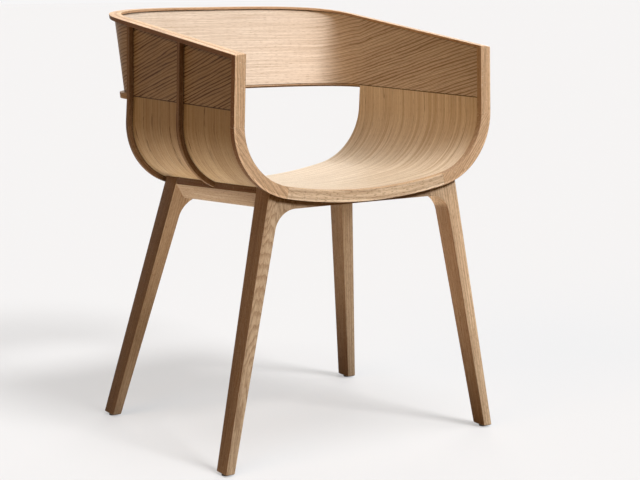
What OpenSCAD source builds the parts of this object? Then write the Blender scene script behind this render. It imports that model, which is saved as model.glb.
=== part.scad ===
// Armchair in oak. A ribbed shell of bent plywood stands on a base of four legs and four rails.
// The depth is measured backward from the front face of the front frame, and z up from the floor.
// X runs from the left to the right of someone who stands in front of the chair and faces it.
// The middle of the depth is at y = 0.

/* [Shell] */
// Depth from the front frame to the back face of the rear rib
ring_depth = 373.5; // [300:0.5:440]
// Half width of the shell between its inner faces, low on the sides
shell_half = 238.5; // [215:0.5:260]
// Radius where the seat turns up into the sides, on the inner face
turn_r = 103.5; // [80:0.5:120]
// Height of the seat's inner face in the middle of the front edge
seat_front_z = 447; // [430:1:470]
// Fall of the seat's inner face from the middle of the front edge to the middle of the rear edge
seat_fall = 20; // [0:1:30]
// Radius of the seat's crown across the front edge
crown_front_r = 808; // [700:1:1200]
// Radius of the seat's crown across the rear edge
crown_rear_r = 715; // [500:1:1000]
// Thickness of the bent plywood
skin_t = 9; // [5:0.5:10]
// Height of the seam between the seat shell and the band over the seat's front edge
seam_rise = 143; // [130:1:160]
// How far the sides have come in at the seam
seam_in = 0.8; // [0:0.1:6]
// Slope of the rear rib's plane backward from the vertical, below the lower back rail
rear_slope = 0.095; // [0:0.005:0.15]

/* [Band] */
// Height of the arms' top edge at the front over the seam
arm_rise = 87; // [70:1:110]
// Slope of the arms' top edge upward to the back
arm_slope = 0.1111; // [0.05:0.0001:0.16]
// How far the sides have come in at the arms' top edge
top_in = 3.5; // [0:0.5:10]
// Reach of the band's inner face behind the rear rib, in the middle of the back, at the seam
back_low_reach = 98.5; // [80:0.5:120]
// Reach of the band's inner face behind the rear rib, in the middle of the back, at the top edge
back_top_reach = 144.5; // [110:0.5:160]
// Depth past the rear rib where the low edge starts to turn
turn_low = 2; // [1:1:12]
// Depth past the rear rib where the top edge starts to turn
turn_top = 8; // [1:1:16]
// Exponent of the back corners' plan along the low edge, where 2 is an ellipse
low_exponent = 2.5; // [2:0.05:3.2]
// Exponent of the back corners' plan along the top edge
top_exponent = 3.3; // [2:0.05:4]

/* [Frame and ribs] */
// Thickness of the front frame from front to back
frame_t = 12; // [8:0.5:18]
// Thickness of a rib from front to back
rib_t = 9.5; // [8:0.5:18]
// Depth of the middle rib's centre line
mid_rib_depth = 185.5; // [150:0.5:220]
// How far ribs, frame and rails stand out from the plywood
rib_h = 8; // [6:0.5:14]
// How far the frame and the top rail stand in past the plywood
lip = 3; // [1:0.5:5]
// Height of the top rail's outer face
rail_face = 7.5; // [6:0.5:14]
// Height of the top rail's lip over the inner face of the band
rail_lip = 4.5; // [3:0.5:6]
// Rise of the top rail from its outer to its inner edge
rail_cant = 2; // [0:0.5:4]
// Height of the lower back rail's outer face
back_rail_face = 10; // [8:0.5:18]
// How far the lower back rail reaches up past the seam's height
back_rail_up = 4; // [0.5:0.5:5]
// Thickness of the lower back rail's lip under the band
back_rail_lip = 3; // [2:0.5:5]

/* [Legs] */
// How far the front legs' outer faces stand in from the shell's half width, at the hip
front_hip_in = 47.5; // [20:0.5:60]
// Outward splay of the front legs from the hip to the floor
front_splay = 83; // [40:1:100]
// Width of a front leg at the floor
front_foot_w = 16; // [14:0.5:24]
// Width of a front leg at the hip
front_hip_w = 23; // [18:0.5:30]
// Depth of the front legs' front face at the floor
front_foot_depth = 4; // [0:1:30]
// Length of a front leg from front to back at the floor
front_foot_l = 31; // [24:1:40]
// Depth of the front legs' front face at the hip
front_hip_depth = 9; // [2:1:30]
// Length of a front leg from front to back at the hip
front_hip_l = 40; // [34:1:48]
// How far the rear legs' outer faces stand in from the shell's half width, at the hip
rear_hip_in = 50.5; // [20:0.5:60]
// Outward splay of the rear legs from the hip to the floor
rear_splay = 80; // [40:1:100]
// Width of a rear leg at the floor
rear_foot_w = 16; // [14:0.5:24]
// Width of a rear leg at the hip
rear_hip_w = 26; // [18:0.5:30]
// Distance from the rear rib forward to the rear legs' front face at the hip
rear_hip_ahead = 48.5; // [40:0.5:75]
// Backward rake of the rear legs' front face from the hip to the floor
rear_rake = 105; // [60:1:125]
// Length of a rear leg from front to back at the floor
rear_foot_l = 35; // [24:1:44]
// Length of a rear leg from front to back at the hip
rear_hip_l = 40; // [34:1:48]
// How far the hip, where the upper leg sizes are given, lies under the seat's front edge
hip_drop = 17; // [0:1:40]
// Bevel on the edges of a leg's foot
foot_bevel = 1.5; // [0.5:0.5:3]

/* [Base rails] */
// How far the rails' underside lies under the seat's front edge
rail_drop = 19.5; // [18:0.5:30]
// Slope of the side rails downward to the back
rail_slope = 0.0555; // [0:0.0005:0.09]
// How far the side rails' outer faces stand in from the shell's half width
side_rail_in = 52.5; // [40:0.5:65]
// Thickness of a side rail
side_rail_t = 24; // [20:0.5:32]
// Inward reach of the bevel under a side rail
bevel_in = 18; // [6:0.5:20]
// Height of the bevel under a side rail
bevel_h = 26; // [10:0.5:30]
// Radius between a front leg and the front rail
front_fillet_r = 40; // [20:1:46]
// Radius between a rear leg and the rear rail
rear_fillet_r = 44; // [20:1:46]
// Length of the leg's shoulder that meets the front or rear rail, past the fillet
shoulder = 1.5; // [0.5:0.5:10]

/* [Fastenings] */
// Diameter of a dowel
dowel_d = 8; // [6:0.5:10]
// Length of a dowel
dowel_l = 36; // [24:1:40]
// Gap round a dowel in its bore
dowel_gap = 0.1; // [0.05:0.05:0.2]
// Free length at each end of a dowel's bore
dowel_end = 1; // [0.5:0.5:2]
// Distance between the two dowels of a joint
dowel_pitch = 16; // [14:1:20]
// Diameter of a screw's shank
screw_d = 3.5; // [3:0.5:5]
// Diameter of a screw's head
screw_head_d = 7; // [6:0.5:8]
// Height of a screw's head
screw_head_h = 2.5; // [2:0.5:4]
// Gap round a screw in the rail
screw_gap = 0.25; // [0.1:0.05:0.5]
// Depth of the counterbore over a screw's head
screw_sink = 8; // [4:0.5:12]
// How far a front screw reaches into the bow
screw_grip = 8; // [5:0.5:8]
// How far a rear screw reaches into the seat's plywood
seat_screw_grip = 6; // [4:0.5:6]
// Spacing of the screws across the seat
screw_pitch = 75; // [40:1:100]
// Number of screws in the front rail, and in the rear rail
screw_count = 3; // [1:2:3]

/* [Glides] */
// Diameter of a glide
glide_d = 13; // [8:0.5:14]
// Height of a glide under the leg
glide_h = 3; // [2:0.5:5]
// Diameter of a glide's pin
glide_pin_d = 3; // [2:0.5:4]
// Length of a glide's pin
glide_pin_l = 14; // [8:1:20]
// Gap round a glide's pin in its bore
glide_gap = 0.1; // [0.05:0.05:0.2]

/* [Hidden] */
$fn = 48;

// Steps along the crown, round the turn of the seat, round a back corner and round a leg's fillet
crown_steps = 4;
turn_steps = 13;
corner_steps = 14;
fillet_steps = 20;
// Facets of the bow's and the frame corners' full circles, as the viewer draws them
bow_facets = 240;
// Steps round the outside of a cutter for a sector of a ring
sector_steps = 8;
// The corner step at which the back rail meets the rail corners
back_rail_step = 8;
// Room that a cutting solid has past what it cuts
spare = 60;
// Angle by which the cutters of the bow and of the corners lap over each other
lap = 2;
// Wood between a side rail's lower dowel and its inner face, and the upper dowel's place past that
dowel_wall = 2.5;
// Places of a side rail's two dowels between its underside and the shell, as shares of its height
dowel_shares = [0.345, 0.72];
// Height of the front screws over the underside of the bow
screw_rise = 3.5;
// Free length over a glide's pin in its bore
pin_end = 1;

seat_rear_z = seat_front_z - seat_fall;
seam_z = seat_front_z + seam_rise;
seam_half = shell_half - seam_in;
top_half = shell_half - top_in;
arm_z = seam_z + arm_rise;
back_low = ring_depth + back_low_reach;
back_top = ring_depth + back_top_reach;
overall_depth = back_top + skin_t + rib_h;
turn_x = shell_half - turn_r;
proud = skin_t + rib_h;
// Below this height the shell's sections lean back
lean_z = seam_z + back_rail_up - back_rail_face;
hip_z = seat_front_z - hip_drop;
rail_low_z = seat_front_z - rail_drop;
side_rail_out = shell_half - side_rail_in;
// The uncut legs end inside the room that the shell takes
leg_top_z = seam_z - spare;
foot_z = glide_h + foot_bevel;
screw_places = [for (i = [0 : screw_count - 1]) (i - (screw_count - 1) / 2) * screw_pitch];

oak = "#c79a66";
oak_ply = "#d6ad7a";
oak_dark = "#b0824f";
nylon = "#3a322c";
steel = "#9a9a98";

function lerp(a, b, t) = a + (b - a) * t;
function y_at(depth) = depth - overall_depth / 2;
function flip_x(p) = [-p[0], p[1], p[2]];
function reversed(list) = [for (i = [len(list) - 1 : -1 : 0]) list[i]];

// The shell's section that starts from a depth, as an outline moved out of its inner face by off
function seat_z(depth) = lerp(seat_front_z, seat_rear_z, depth / ring_depth);
function crown_r(depth) = lerp(crown_front_r, crown_rear_r, depth / ring_depth);
function turn_angle(depth) = asin(turn_x / (crown_r(depth) - turn_r));
function crown_z(depth) = seat_z(depth) + crown_r(depth);
function turn_z(depth) = crown_z(depth) - (crown_r(depth) - turn_r) * cos(turn_angle(depth));
function lean(depth) = rear_slope * max(0, depth - frame_t) / (ring_depth - frame_t);
function section_y(depth, z) = y_at(depth + lean(depth) * max(0, lean_z - z));
function crown_point(depth, off, a) =
    let (z = crown_z(depth) - (crown_r(depth) + off) * cos(a))
    [(crown_r(depth) + off) * sin(a), section_y(depth, z), z];
function turn_point(depth, off, a) =
    let (z = turn_z(depth) - (turn_r + off) * cos(a))
    [turn_x + (turn_r + off) * sin(a), section_y(depth, z), z];
function wall_point(depth, off, z) =
    let (t = (z - turn_z(depth)) / (seam_z - turn_z(depth)))
    [lerp(shell_half, seam_half, t) + off, section_y(depth, z), z];
function half_section(depth, off) = concat(
    [for (i = [0 : crown_steps - 1]) crown_point(depth, off, turn_angle(depth) * i / crown_steps)],
    [for (i = [0 : turn_steps]) turn_point(depth, off, lerp(turn_angle(depth), 90, i / turn_steps))],
    [for (z = [lean_z, seam_z]) wall_point(depth, off, z)]);
function full_section(half) =
    concat(reversed(half), [for (i = [1 : len(half) - 1]) flip_x(half[i])]);

// The band is ruled between a level low edge and a rising top edge.
// A station is a depth on the right side, or an angle of 0 to 90 round the right back corner.
function side_station(depth) = [0, depth];
function corner_station(angle) = [1, angle];
function plan(station, off, half, start, back, exponent) = station[0] == 0
    ? [half + off, y_at(station[1])]
    : [(half + off) * pow(cos(station[1]), 2 / exponent),
        y_at(start) + (back - start + off) * pow(sin(station[1]), 2 / exponent)];
function low_point(station, off) =
    let (p = plan(station, off, seam_half, ring_depth + turn_low, back_low, low_exponent))
    [p[0], p[1], seam_z];
function arm_top_z(y) = arm_z + arm_slope * (y - y_at(0));
function top_point(station, off) =
    let (p = plan(station, off, top_half, ring_depth + turn_top, back_top, top_exponent))
    [p[0], p[1], arm_top_z(p[1])];
// A point on the ruled face, down from the top edge or up from the low edge
function from_top(station, off, h) =
    let (a = low_point(station, off), b = top_point(station, off)) lerp(a, b, 1 + h / (b[2] - a[2]));
function from_low(station, off, h) =
    let (a = low_point(station, off), b = top_point(station, off)) lerp(a, b, h / (b[2] - a[2]));

corner_stations = [for (i = [0 : corner_steps]) corner_station(90 * i / corner_steps)];
side_depths = [frame_t, mid_rib_depth - rib_t / 2, mid_rib_depth + rib_t / 2, ring_depth - rib_t,
    ring_depth];
side_stations = [for (d = side_depths) side_station(d)];

// Skins a list of rings of the same number of points, with the cap's triangles at both ends.
// A ring runs clockwise as seen from outside the first cap.
module loft(rings, cap) {
    n = len(rings[0]);
    last = (len(rings) - 1) * n;
    polyhedron(
        points = [for (ring = rings) each ring],
        faces = concat(
            [for (t = cap) [t[0], t[1], t[2]]],
            [for (t = cap) [last + t[2], last + t[1], last + t[0]]],
            [for (r = [0 : len(rings) - 2], i = [0 : n - 1])
                [r * n + i, (r + 1) * n + i, (r + 1) * n + (i + 1) % n]],
            [for (r = [0 : len(rings) - 2], i = [0 : n - 1])
                [r * n + i, (r + 1) * n + (i + 1) % n, r * n + (i + 1) % n]]));
}

// Cap of a ring that runs out along one side and back along the other
function ladder(n) = [for (i = [0 : n - 2]) each
    [[i, i + 1, 2 * n - 2 - i], [i, 2 * n - 2 - i, 2 * n - 1 - i]]];

// Both halves of a path of rings, from the right front round the back to the left front
function both_sides(rings) =
    concat(rings, reversed([for (i = [0 : len(rings) - 2]) [for (p = rings[i]) flip_x(p)]]));

// Front frame: five pieces in one plane
module ring_sector(r_out, r_in, from, to) {
    reach = r_out + spare;
    intersection() {
        difference() {
            circle(r_out, $fn = bow_facets);
            if (r_in > 0) circle(r_in, $fn = bow_facets);
        }
        polygon(concat([[0, 0]],
            [for (i = [0 : sector_steps]) let (a = lerp(from, to, i / sector_steps))
                [reach * sin(a), -reach * cos(a)]]));
    }
}

module frame_plate(x, z) {
    translate([x, y_at(frame_t), z]) rotate([90, 0, 0]) linear_extrude(frame_t) children();
}

module front_bow() {
    color(oak) difference() {
        frame_plate(0, crown_z(0))
            ring_sector(crown_r(0) + proud, crown_r(0) - lip, -turn_angle(0), turn_angle(0));
        for (x = screw_places) front_screw(x, 0, 0);
    }
}

module front_corner_right() {
    color(oak_dark) frame_plate(turn_x, turn_z(0))
        ring_sector(turn_r + proud, turn_r - lip, turn_angle(0), 90);
}

module front_corner_left() {
    mirror([1, 0, 0]) front_corner_right();
}

function upright_ring(depth) = let (s = side_station(depth)) [
    from_top(s, proud, 0),
    [seam_half + proud, y_at(depth), seam_z],
    [turn_x + turn_r + proud, y_at(depth), turn_z(0)],
    [turn_x + turn_r - lip, y_at(depth), turn_z(0)],
    [seam_half - lip, y_at(depth), seam_z],
    from_top(s, -lip, rail_cant)];

module front_upright_right() {
    color(oak) loft([upright_ring(0), upright_ring(frame_t)], ladder(3));
}

module front_upright_left() {
    mirror([1, 0, 0]) front_upright_right();
}

// Ribs: a full U outside the plywood, from the top rail on one side to the other
function rib_half(depth, off) = concat(half_section(depth, off),
    [from_top(side_station(depth), off, -rail_face)]);
function rib_ring(depth) = concat(full_section(rib_half(depth, proud)),
    reversed(full_section(rib_half(depth, skin_t))));

module rib(front_depth) {
    loft([rib_ring(front_depth), rib_ring(front_depth + rib_t)], ladder(len(rib_ring(0)) / 2));
}

module mid_rib() {
    color(oak_dark) rib(mid_rib_depth - rib_t / 2);
}

module rear_rib() {
    color(oak_dark) rib(ring_depth - rib_t);
}

// Bent plywood: the seat and the band above it
function shell_ring(depth) = concat(full_section(half_section(depth, skin_t)),
    reversed(full_section(half_section(depth, 0))));

module seat_shell() {
    color(oak_ply) difference() {
        loft([for (d = side_depths) shell_ring(d)], ladder(len(shell_ring(0)) / 2));
        for (x = screw_places) rear_screw(x, 0, 0);
    }
}

function band_ring(s) = [
    from_top(s, 0, rail_cant - rail_lip),
    from_top(s, skin_t, rail_cant - rail_lip),
    from_low(s, skin_t, 0),
    from_low(s, 0, 0)];

module back_band() {
    color(oak_ply) loft(both_sides([for (s = concat(side_stations, corner_stations)) band_ring(s)]),
        ladder(2));
}

// Top rail: it caps the band and stands out over the ribs
function top_rail_ring(s) = [
    from_top(s, -lip, rail_cant),
    from_top(s, proud, 0),
    from_top(s, proud, -rail_face),
    from_top(s, skin_t, -rail_face),
    from_top(s, skin_t, rail_cant - rail_lip),
    from_top(s, -lip, rail_cant - rail_lip)];

module arm_rail_right() {
    color(oak) loft([for (s = side_stations) top_rail_ring(s)], ladder(3));
}

module arm_rail_left() {
    mirror([1, 0, 0]) arm_rail_right();
}

module rail_corner_right() {
    first = [for (i = [0 : back_rail_step]) corner_stations[i]];
    stations = concat([side_station(ring_depth)], first);
    color(oak_dark) loft([for (s = stations) top_rail_ring(s)], ladder(3));
}

module rail_corner_left() {
    mirror([1, 0, 0]) rail_corner_right();
}

module back_rail() {
    stations = [for (i = [back_rail_step : corner_steps]) corner_stations[i]];
    color(oak) loft(both_sides([for (s = stations) top_rail_ring(s)]), ladder(3));
}

// Lower back rail: round the outside of the band's low edge, with a lip under the plywood
function low_rail_ring(s) = [
    from_low(s, 0, 0),
    from_low(s, skin_t, 0),
    from_low(s, skin_t, back_rail_up),
    from_low(s, proud, back_rail_up),
    from_low(s, proud, back_rail_up - back_rail_face),
    from_low(s, skin_t, back_rail_up - back_rail_face),
    from_low(s, skin_t, -back_rail_lip),
    from_low(s, 0, -back_rail_lip)];
low_rail_cap = [[0, 1, 6], [0, 6, 7], [1, 2, 3], [1, 3, 6], [6, 3, 4], [6, 4, 5]];

module lower_back_rail() {
    stations = concat([side_station(ring_depth)], corner_stations);
    color(oak) loft(both_sides([for (s = stations) low_rail_ring(s)]), low_rail_cap);
}

// The room that the shell takes over the base, which the legs and rails are scribed to
function room_ring(depth, off) = full_section(half_section(depth, off));
function fan(n) = [for (i = [1 : n - 2]) [0, i, i + 1]];

module shell_room(from, to, off) {
    depths = [for (d = concat([from], side_depths, [to])) if (d >= from && d <= to) d];
    unique = [for (i = [0 : len(depths) - 1]) if (i == 0 || depths[i] > depths[i - 1]) depths[i]];
    loft([for (d = unique) room_ring(d, off)], fan(len(room_ring(from, off))));
}

module frame_room() {
    frame_plate(0, 0) union() {
        translate([0, crown_z(0)]) ring_sector(crown_r(0) + proud, 0, -turn_angle(0), turn_angle(0));
        for (side = [0, 1]) mirror([side, 0]) translate([turn_x, turn_z(0)])
            ring_sector(turn_r + proud, 0, turn_angle(0) - lap, 90);
    }
}

module whole_shell_room() {
    frame_room();
    shell_room(frame_t, ring_depth, skin_t);
    shell_room(mid_rib_depth - rib_t / 2, mid_rib_depth + rib_t / 2, proud);
    shell_room(ring_depth - rib_t, ring_depth, proud);
}

// A leg is a front outline and a side outline, each drawn out and crossed.
// A leg's sizes: outer half width, width, front depth and length, at the floor and at the hip
front_leg = [
    [shell_half - front_hip_in + front_splay, front_foot_w, front_foot_depth, front_foot_l],
    [shell_half - front_hip_in, front_hip_w, front_hip_depth, front_hip_l]];
rear_leg = [
    [shell_half - rear_hip_in + rear_splay, rear_foot_w, ring_depth - rear_hip_ahead + rear_rake,
        rear_foot_l],
    [shell_half - rear_hip_in, rear_hip_w, ring_depth - rear_hip_ahead, rear_hip_l]];

function leg_size(leg, i, z) = lerp(leg[0][i], leg[1][i], z / hip_z);
function leg_out(leg, z) = leg_size(leg, 0, z);
function leg_in(leg, z) = leg_out(leg, z) - leg_size(leg, 1, z);
function leg_front(leg, z) = leg_size(leg, 2, z);
function leg_back(leg, z) = leg_front(leg, z) + leg_size(leg, 3, z);
function mid_depth(leg, z) = (leg_front(leg, z) + leg_back(leg, z)) / 2;
function cross_rail_z(leg) = rail_low_z - rail_slope * leg_front(leg, rail_low_z);
// The fillet touches the leg's inner face and the underside of the rail
function leg_lean(leg) = atan((leg_in(leg, 0) - leg_in(leg, hip_z)) / hip_z);
function fillet_r(leg) = leg == front_leg ? front_fillet_r : rear_fillet_r;
function fillet_run(leg) = fillet_r(leg) * tan(45 - leg_lean(leg) / 2);
function fillet_x(leg) = leg_in(leg, cross_rail_z(leg)) - fillet_run(leg);
function joint_x(leg) = fillet_x(leg) - shoulder;

function foot_points(near, far) = [[near, foot_z], [near + foot_bevel, glide_h],
    [far - foot_bevel, glide_h], [far, foot_z]];
function fillet_point(leg, a) =
    [fillet_x(leg) + fillet_r(leg) * cos(a), cross_rail_z(leg) - fillet_r(leg) * (1 - sin(a))];

module leg_front_outline(leg) {
    polygon(concat(
        [[joint_x(leg), leg_top_z], [joint_x(leg), cross_rail_z(leg)]],
        [for (i = [0 : fillet_steps]) fillet_point(leg, lerp(90, leg_lean(leg), i / fillet_steps))],
        foot_points(leg_in(leg, foot_z), leg_out(leg, foot_z)),
        [[leg_out(leg, leg_top_z), leg_top_z]]));
}

module leg_side_outline(leg) {
    polygon(concat(
        [[leg_front(leg, leg_top_z), leg_top_z]],
        foot_points(leg_front(leg, foot_z), leg_back(leg, foot_z)),
        [[leg_back(leg, leg_top_z), leg_top_z]]));
}

// Draws an outline of depth and height out to both sides
module across(half) {
    translate([-half, y_at(0), 0]) rotate([90, 0, 90]) linear_extrude(2 * half) children();
}

module leg_blank(leg) {
    intersection() {
        translate([0, overall_depth, 0]) rotate([90, 0, 0]) linear_extrude(2 * overall_depth)
            leg_front_outline(leg);
        across(leg_out(leg, 0) + spare) leg_side_outline(leg);
    }
}

module leg(leg) {
    color(oak) difference() {
        leg_blank(leg);
        whole_shell_room();
        cross_dowels(leg, dowel_gap, dowel_end);
        side_dowels(leg, dowel_gap, dowel_end);
        glide_bore(leg);
    }
}

module leg_front_right() {
    leg(front_leg);
}

module leg_front_left() {
    mirror([1, 0, 0]) leg_front_right();
}

module leg_rear_right() {
    leg(rear_leg);
}

module leg_rear_left() {
    mirror([1, 0, 0]) leg_rear_right();
}

// Front and rear rails run between the shoulders of the legs, as deep as the legs are there
module cross_rail(leg) {
    difference() {
        intersection() {
            across(joint_x(leg)) leg_side_outline(leg);
            translate([0, 0, cross_rail_z(leg) + spare])
                cube([2 * joint_x(leg), 2 * overall_depth, 2 * spare], center = true);
        }
        whole_shell_room();
        for (side = [0, 1]) mirror([side, 0, 0]) cross_dowels(leg, dowel_gap, dowel_end);
    }
}

module front_rail() {
    color(oak) difference() {
        cross_rail(front_leg);
        for (x = screw_places) front_screw(x, screw_gap, screw_sink);
    }
}

module rear_rail() {
    color(oak) difference() {
        cross_rail(rear_leg);
        for (x = screw_places) rear_screw(x, screw_gap, spare);
    }
}

// Side rails fall with the seat and have a deep bevel below their outer face
fall_angle = atan(rail_slope);

module side_rail_right() {
    out = side_rail_out;
    color(oak_dark) difference() {
        translate([0, y_at(0), rail_low_z]) rotate([-fall_angle, 0, 0]) rotate([90, 0, 0])
            translate([0, 0, -side_joint(rear_leg) - spare])
            linear_extrude(side_joint(rear_leg) + spare)
            polygon([[out - bevel_in, 0], [out, bevel_h], [out, 2 * spare],
                [out - side_rail_t, 2 * spare], [out - side_rail_t, 0]]);
        whole_shell_room();
        across(leg_out(front_leg, 0)) end_outline(front_leg, -spare, 0);
        across(leg_out(front_leg, 0)) end_outline(rear_leg, 0, 2 * spare);
        side_dowels(front_leg, dowel_gap, dowel_end);
        side_dowels(rear_leg, dowel_gap, dowel_end);
    }
}

// A leg's side outline, widened to the front or back, which ends a side rail
module end_outline(leg, more_front, more_back) {
    polygon([for (z = [glide_h, leg_top_z]) [leg_front(leg, z) + more_front, z],
        for (z = [leg_top_z, glide_h]) [leg_back(leg, z) + more_back, z]]);
}

module side_rail_left() {
    mirror([1, 0, 0]) side_rail_right();
}

// Dowels: two in each joint. The gap widens them and the end lengthens them, for their bores
function cross_dowel_z(leg) =
    (cross_rail_z(leg) + crown_z(mid_depth(leg, hip_z))
        - sqrt(pow(crown_r(mid_depth(leg, hip_z)) + proud, 2) - pow(joint_x(leg), 2))) / 2;

module cross_dowels(leg, gap, end) {
    z = cross_dowel_z(leg);
    for (side = [-1, 1])
        translate([joint_x(leg) - dowel_l / 2 - end, y_at(mid_depth(leg, z) + side * dowel_pitch / 2), z])
            rotate([0, 90, 0]) cylinder(d = dowel_d + 2 * gap, h = dowel_l + 2 * end);
}

// The section that passes through a depth at a height
function section_at(depth, z) =
    let (k = rear_slope * (lean_z - z) / (ring_depth - frame_t)) (depth + k * frame_t) / (1 + k);
// Where a side rail meets a leg, as a depth, and the rail's underside there
function side_joint(leg) = leg == front_leg ? leg_back(leg, hip_z) : leg_front(leg, hip_z);
function side_rail_z(depth) = rail_low_z - rail_slope * depth;
side_dowel_x = side_rail_out - side_rail_t + dowel_wall + dowel_d / 2;

function turn_under(depth, x) = turn_z(depth) - sqrt(pow(turn_r + skin_t, 2) - pow(x - turn_x, 2));

module side_dowels(leg, gap, end) {
    depth = side_joint(leg);
    low = side_rail_z(depth);
    high = turn_under(section_at(depth, low), side_dowel_x);
    for (i = [0, 1])
        translate([side_dowel_x + i * dowel_wall, y_at(depth + dowel_l / 2 + end),
            lerp(low, high, dowel_shares[i])])
            rotate([90, 0, 0]) cylinder(d = dowel_d + 2 * gap, h = dowel_l + 2 * end);
}

module dowels_front() {
    color(oak_ply) for (side = [0, 1]) mirror([side, 0, 0]) cross_dowels(front_leg, 0, 0);
}

module dowels_rear() {
    color(oak_ply) for (side = [0, 1]) mirror([side, 0, 0]) cross_dowels(rear_leg, 0, 0);
}

module dowels_right() {
    color(oak_ply) {
        side_dowels(front_leg, 0, 0);
        side_dowels(rear_leg, 0, 0);
    }
}

module dowels_left() {
    mirror([1, 0, 0]) dowels_right();
}

// Screws run level through the front rail into the bow, and up through the rear rail into the seat.
// The sink carries the head's bore out of the rail.
module screw(gap, sink, through) {
    cylinder(d = screw_d + 2 * gap, h = through + screw_head_h);
    cylinder(d = screw_head_d + 2 * gap, h = screw_head_h);
    if (sink > 0) translate([0, 0, -spare]) cylinder(d = screw_head_d + 2 * gap, h = spare + screw_head_h);
}

// Height of the shell's outer face over a place on the floor, moved out by off
function outer_z(depth, x, off) = crown_z(depth) - sqrt(pow(crown_r(depth) + off, 2) - x * x);

module front_screw(x, gap, sink) {
    z = outer_z(frame_t, x, proud) + screw_rise;
    head = leg_back(front_leg, z) - screw_sink;
    translate([x, y_at(head), z]) rotate([90, 0, 0])
        screw(gap, sink, head - screw_head_h - frame_t + (gap > 0 ? 0 : screw_grip));
}

module rear_screw(x, gap, sink) {
    z = cross_rail_z(rear_leg);
    depth = mid_depth(rear_leg, z);
    through = outer_z(section_at(depth, z), x, skin_t) - z - screw_head_h;
    translate([x, y_at(depth), z]) screw(gap, sink, through + (gap > 0 ? spare : seat_screw_grip));
}

module front_screws() {
    color(steel) for (x = screw_places) front_screw(x, 0, 0);
}

module rear_screws() {
    color(steel) for (x = screw_places) rear_screw(x, 0, 0);
}

// Glides: a disc under the foot with a pin up into it
module glide_place(leg) {
    x = (leg_out(leg, glide_h) + leg_in(leg, glide_h)) / 2;
    translate([x, y_at(mid_depth(leg, glide_h)), 0]) children();
}

module glide_bore(leg) {
    glide_place(leg) cylinder(d = glide_pin_d + 2 * glide_gap, h = glide_h + glide_pin_l + pin_end);
}

module glide(leg) {
    color(nylon) glide_place(leg) {
        cylinder(d = glide_d, h = glide_h);
        cylinder(d = glide_pin_d, h = glide_h + glide_pin_l);
    }
}

module glide_front_right() {
    glide(front_leg);
}

module glide_front_left() {
    mirror([1, 0, 0]) glide_front_right();
}

module glide_rear_right() {
    glide(rear_leg);
}

module glide_rear_left() {
    mirror([1, 0, 0]) glide_rear_right();
}

front_bow();
front_corner_left();
front_corner_right();
front_upright_left();
front_upright_right();
mid_rib();
rear_rib();
seat_shell();
back_band();
arm_rail_left();
arm_rail_right();
rail_corner_left();
rail_corner_right();
back_rail();
lower_back_rail();
leg_front_left();
leg_front_right();
leg_rear_left();
leg_rear_right();
front_rail();
rear_rail();
side_rail_left();
side_rail_right();
dowels_front();
dowels_rear();
dowels_left();
dowels_right();
front_screws();
rear_screws();
glide_front_left();
glide_front_right();
glide_rear_left();
glide_rear_right();
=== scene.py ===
"""Looks of the oak armchair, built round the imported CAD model."""
import math

import bmesh
import bpy
import numpy as np
from mathutils import Matrix, Vector


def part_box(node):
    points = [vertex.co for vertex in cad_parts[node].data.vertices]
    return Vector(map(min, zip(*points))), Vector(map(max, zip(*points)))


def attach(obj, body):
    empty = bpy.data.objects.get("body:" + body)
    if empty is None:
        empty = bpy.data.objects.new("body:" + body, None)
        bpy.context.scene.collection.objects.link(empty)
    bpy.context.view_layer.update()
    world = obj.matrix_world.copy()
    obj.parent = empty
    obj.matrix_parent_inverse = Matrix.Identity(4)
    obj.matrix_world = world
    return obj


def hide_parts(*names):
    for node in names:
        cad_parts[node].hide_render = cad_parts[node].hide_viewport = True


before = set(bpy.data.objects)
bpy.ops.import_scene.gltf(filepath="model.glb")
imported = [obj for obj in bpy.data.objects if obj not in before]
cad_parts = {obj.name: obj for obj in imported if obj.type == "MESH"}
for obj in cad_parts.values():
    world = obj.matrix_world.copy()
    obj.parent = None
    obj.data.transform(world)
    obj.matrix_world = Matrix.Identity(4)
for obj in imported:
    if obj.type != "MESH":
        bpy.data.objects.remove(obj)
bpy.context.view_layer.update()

MM = 0.001

# The part's driving sizes, in millimetres, as in its source
RING_DEPTH, SHELL_HALF, TURN_R = 373.5, 238.5, 103.5
SEAT_FRONT_Z, SEAT_REAR_Z = 447, 427
CROWN_FRONT_R, CROWN_REAR_R = 808, 715
SKIN_T, SEAM_Z, SEAM_HALF, REAR_SLOPE = 9, 590, 237.7, 0.095
ARM_Z, ARM_SLOPE, TOP_HALF = 677, 0.1111, 235
BACK_LOW, BACK_TOP, TURN_LOW, TURN_TOP = 472, 518, 2, 8
LOW_EXPONENT, TOP_EXPONENT = 2.5, 3.3
FRAME_T, RIB_T, MID_RIB_DEPTH, RIB_H, LIP = 12, 9.5, 185.5, 8, 3
RAIL_FACE, RAIL_LIP, RAIL_CANT = 7.5, 4.5, 2
BACK_RAIL_FACE, BACK_RAIL_UP, BACK_RAIL_LIP = 10, 4, 3
OVERALL_DEPTH = BACK_TOP + SKIN_T + RIB_H
TURN_X = SHELL_HALF - TURN_R
PROUD = SKIN_T + RIB_H
LEAN_Z = SEAM_Z + BACK_RAIL_UP - BACK_RAIL_FACE

# Steps of the smooth meshes
CROWN_STEPS, TURN_STEPS, WALL_STEPS, CORNER_STEPS = 16, 40, 6, 84
SKIN_RINGS, SIDE_STATIONS, FRAME_STEPS = 30, 28, 40

# Eased edges: widths in millimetres, angles in degrees, and the share that the edges of a piece's ends get
EASE, PLY_EASE, RAIL_EASE, LEG_EASE = 0.7, 0.5, 0.6, 1.0
EASE_SEGMENTS, EASED_ANGLE, COPY_ANGLE, END_SHARE = 3, 38, 30, 0.25

# Clean-up of a CAD mesh: points this near are one, in metres, and faces this level are one, in degrees
WELD, LEVEL_ANGLE = 1e-5, 1

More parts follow.
